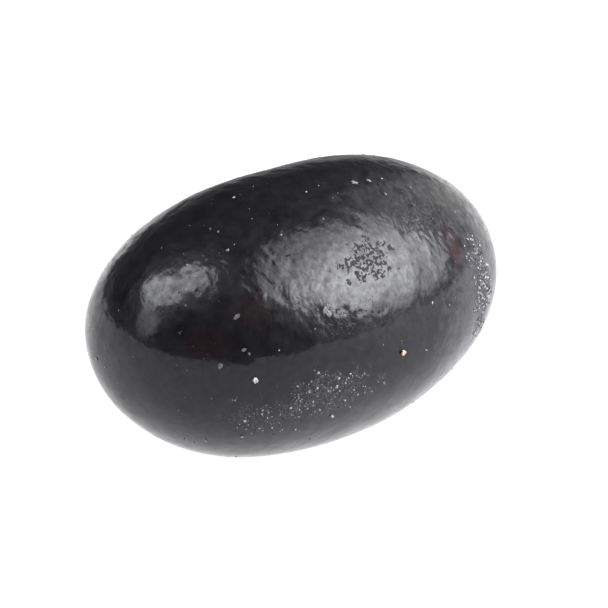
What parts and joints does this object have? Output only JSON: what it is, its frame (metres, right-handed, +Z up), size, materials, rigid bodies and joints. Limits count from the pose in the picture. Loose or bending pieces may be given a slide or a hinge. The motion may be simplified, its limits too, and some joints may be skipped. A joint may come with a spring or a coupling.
{
  "type": "jelly bean",
  "caption": "Kidney-shaped sweet of soft jelly in a glossy, near-black sugar shell, lying on its side, with a hollow long side, a fatter end and soft, shallow dents, eaten as it is.",
  "frame": {"origin": "middle of the bounding box, on the surface that the bean rests on", "axes": "+X along the bean from the fatter end to the slimmer end, +Y out of its hollow side, +Z up"},
  "size_m": [0.022, 0.0138, 0.0132],
  "materials": {
    "sugar_shell": "polished black sugar shell with a thin wax glaze, faintly rippled and patchily dulled",
    "sugar_dust": "fine white sugar dust and a few pale sugar grains stuck to the shell"
  },
  "bodies": {
    "root": {"jelly_bean": "sugar_shell"}
  },
  "joints": []
}
